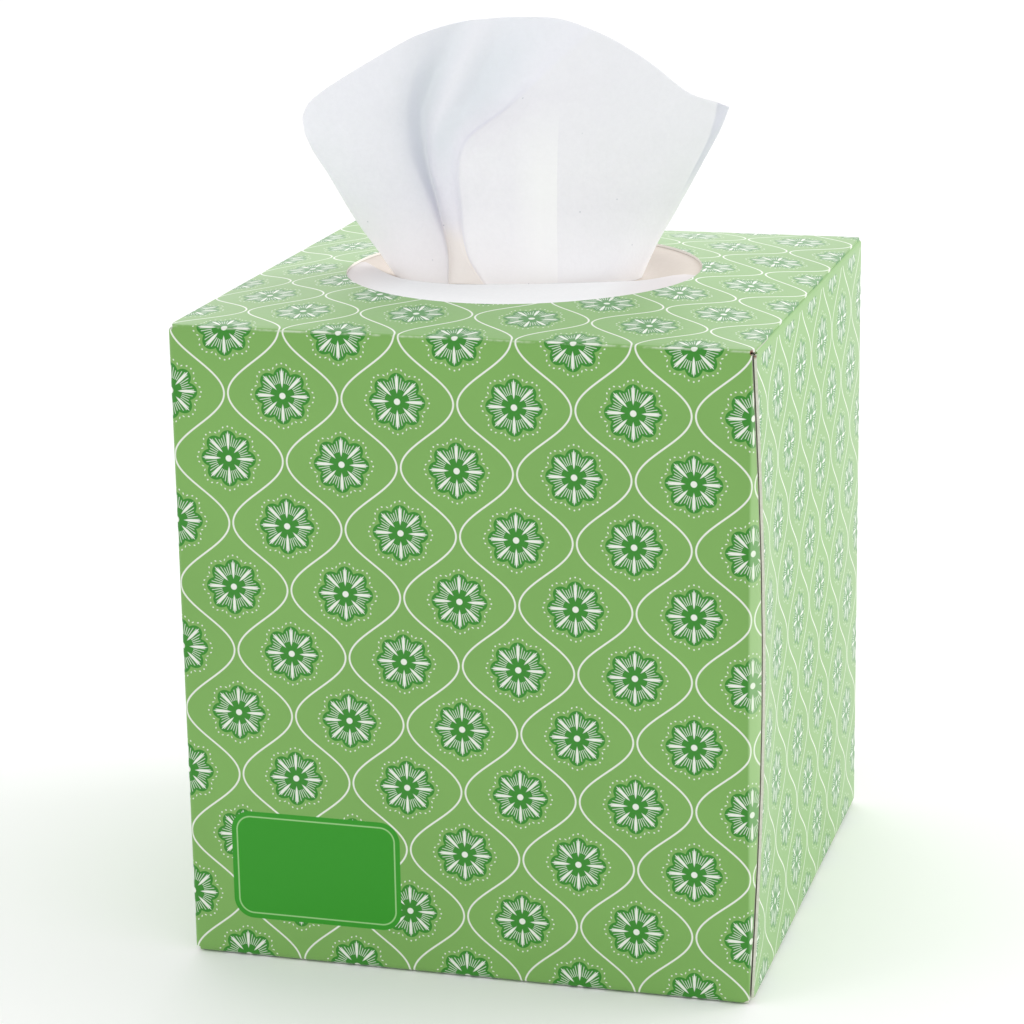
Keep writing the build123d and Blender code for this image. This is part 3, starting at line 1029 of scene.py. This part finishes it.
for number, index in enumerate(order):
    level, across = divmod(number, columns + 1)
    p = Vector(surface[across, level])
    free = min(1.0, max(0.0, (p.z - free_from) / free_over))
    rib, rise = across * rib_steps / columns, level * height_steps / levels
    p.y += free * crumple * sum(size * noise.noise(p * scale) for size, scale in crumple_waves)
    crushed = peak(rib, crushed_rib, 0.6) * peak(rise, 2.9, 0.7)
    p.y += crush * crushed * noise.noise(p * crush_scale)
    sheet.data.vertices[index].co = p
    lap[index] = soft_step(lap_rib, lap_rib + 0.35, rib)
    # Painted shade along the main fold and the second fold.
    valley = peak(rib, fold_rib, 1.15 if rib < fold_rib else 0.75)
    valley *= soft_step(1.4, 2.6, rise) * (1 - 0.5 * soft_step(4.2, 5.0, rise))
    second = peak(rib, second_rib + 0.6 * soft_step(3.0, 4.2, rise), 0.85)
    second *= soft_step(2.2, 3.2, rise) * (1 - 0.6 * soft_step(4.3, 5.0, rise))
    shade[index] = max(valley, 0.95 * second)
    # Painted warm shade deep in the fold near the mouth.
    in_fold = soft_step(4.1, 4.9, rib) * (1 - soft_step(7.9, 8.4, rib))
    deep[index] = in_fold * (1 - soft_step(1.1, 1.9, rise))
    # Painted shade on the narrow strip along the right edge.
    hem_start = hem_rib + 0.1 * (height_steps - rise)
    hem[index] = soft_step(hem_start, hem_start + 0.12, rib) * soft_step(2.2, 2.8, rise)
for name, values in (("lap", lap), ("shade", shade), ("deep", deep), ("hem", hem)):
    sheet.data.attributes.new(name, "FLOAT", "POINT").data.foreach_set("value", values)
sheet.data.update()
ply = sheet.modifiers.new("plies", "SOLIDIFY")
ply.thickness = 0.25 * MM
ply.offset = 0
bpy.ops.object.modifier_apply(modifier=ply.name)
bpy.ops.object.shade_smooth_by_angle(angle=math.radians(60))
area = sum(face.area for face in sheet.data.polygons) / 2
print("sheet area", round(area, 6), "square metres")

# %% [markdown]
# Tissue is matte and a little see-through, with a fine crepe across it, cloudy thin places and a few specks
# of fibre. Its colour also carries painted light and shade: a lit strip on the lap, a lighter and warmer foot
# near the mouth, and painted shade towards the top, in the folds and on the turned strip at the right edge.
# Near the board the light that reaches it is warm, because it comes off the bare inside of the carton, so
# painted warm shade tints the clip at the back and at the two ends of the next sheet.

# %% Tissue paper
tissue_paper, tree, shader = new_material("tissue_paper")


def kept_value(tree, name):
    """A value that was kept on the points of the mesh."""
    node = tree.nodes.new("ShaderNodeAttribute")
    node.attribute_name = name
    return node.outputs["Fac"]


spot = object_place(tree)
cloud = noise_of(tree, spot, 160.0, 4.0, 0.6)
crepe = noise_of(tree, spot, 1100.0, 3.0, 0.65)
speck_scale, speck_reach = 200.0, 0.03
speck = tree.nodes.new("ShaderNodeTexVoronoi")
speck.inputs["Scale"].default_value = speck_scale
tree.links.new(spot, speck.inputs["Vector"])
mottle = sum_of(tree, "MULTIPLY_ADD", crepe, 0.7, sum_of(tree, "MULTIPLY", cloud, 0.3))
single = cover(tree, from_srgb(216, 215, 227), from_srgb(229, 228, 239), mottle)
double = cover(tree, from_srgb(216, 215, 223), from_srgb(228, 227, 234), mottle)
paper_x, _, paper_z = parts_of(tree, spot)
# Painted light: a lit strip on the lap, a few millimetres right of the middle, below the upper part.
strip_end = mask_within(tree, paper_x, 7.3 * MM, 0.15 * MM)
strip_start = outside(tree, mask_within(tree, paper_x, 1.0 * MM, 6.0 * MM))
painted_lit_strip = sum_of(tree, "MULTIPLY", strip_end, strip_start)
painted_lit_strip = sum_of(tree, "MULTIPLY", painted_lit_strip, mask_within(tree, paper_z, 153 * MM, 16 * MM))
double = cover(tree, double, from_srgb(245, 246, 244), sum_of(tree, "MULTIPLY", painted_lit_strip, 0.45))
# Painted light near the mouth: the lap is lightened and the single ply warmed, as if lit off the board.
low = mask_within(tree, paper_z, 131 * MM, 20 * MM)
double = cover(tree, double, from_srgb(246, 247, 250), sum_of(tree, "MULTIPLY", low, 0.85))
single = cover(tree, single, from_srgb(236, 233, 228), sum_of(tree, "MULTIPLY", low, 0.7))
paper = cover(tree, single, double, kept_value(tree, "lap"))
# Painted shade: the sheet is darkened towards its top.
high = outside(tree, mask_within(tree, paper_z, 160 * MM, 24 * MM))
paper = cover(tree, paper, from_srgb(200, 203, 209), sum_of(tree, "MULTIPLY", high, 0.4))
# Painted shade in the folds.
in_shade = sum_of(tree, "MULTIPLY", kept_value(tree, "shade"), 0.65)
paper = cover(tree, paper, from_srgb(196, 203, 211), in_shade)
# Painted warm shade deep in the fold near the mouth.
paper = cover(tree, paper, from_srgb(238, 232, 227), kept_value(tree, "deep"))
# Painted shade on the strip along the right edge that is turned from the light.
hem_painted_shade = sum_of(tree, "MULTIPLY", kept_value(tree, "hem"), 0.75)
paper = cover(tree, paper, from_srgb(186, 187, 199), hem_painted_shade)
in_speck = mask_within(tree, speck.outputs["Distance"], speck_reach, speck_reach)
paper = cover(tree, paper, from_srgb(184, 188, 198), in_speck)
tree.links.new(paper, shader.inputs["Base Color"])
shader.inputs["Roughness"].default_value = 0.95
shader.inputs["Specular IOR Level"].default_value = 0.1
shader.inputs["Subsurface Weight"].default_value = 0.6
shader.inputs["Subsurface Radius"].default_value = (1.0, 1.0, 1.0)
shader.inputs["Subsurface Scale"].default_value = 1.4 * MM
tree.links.new(bump_of(tree, crepe, 0.04 * MM, bump_of(tree, cloud, 0.1 * MM)), shader.inputs["Normal"])
sheet.data.materials.append(tissue_paper)

clip_paper, tree, shader = new_material("clip_paper")
spot = object_place(tree)
crepe = noise_of(tree, spot, 1100.0, 3.0, 0.65)
front_paper = cover(tree, from_srgb(236, 236, 237), from_srgb(244, 244, 244), crepe)
# Painted warm shade: behind the next sheet's edge the clip is tinted as if lit by light off the bare board.
painted_warm_back = cover(tree, from_srgb(216, 206, 196), from_srgb(224, 215, 206), crepe)
clip_x, _, _ = parts_of(tree, spot)
# Painted warm shade at the two ends of the next sheet.
aside = sum_of(tree, "ABSOLUTE", sum_of(tree, "SUBTRACT", clip_x, hole_x))
ends = outside(tree, mask_within(tree, aside, 25 * MM, 12 * MM))
front_paper = cover(tree, front_paper, from_srgb(222, 214, 213), sum_of(tree, "MULTIPLY", ends, 0.75))
tree.links.new(cover(tree, front_paper, painted_warm_back, kept_value(tree, "behind")), shader.inputs["Base Color"])
shader.inputs["Roughness"].default_value = 0.95
shader.inputs["Specular IOR Level"].default_value = 0.15
tree.links.new(bump_of(tree, crepe, 0.03 * MM), shader.inputs["Normal"])
clip.data.materials.append(clip_paper)

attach(sheet, "root")
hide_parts("popup_tissue")
print("paper:", tissue_paper.name, clip_paper.name)
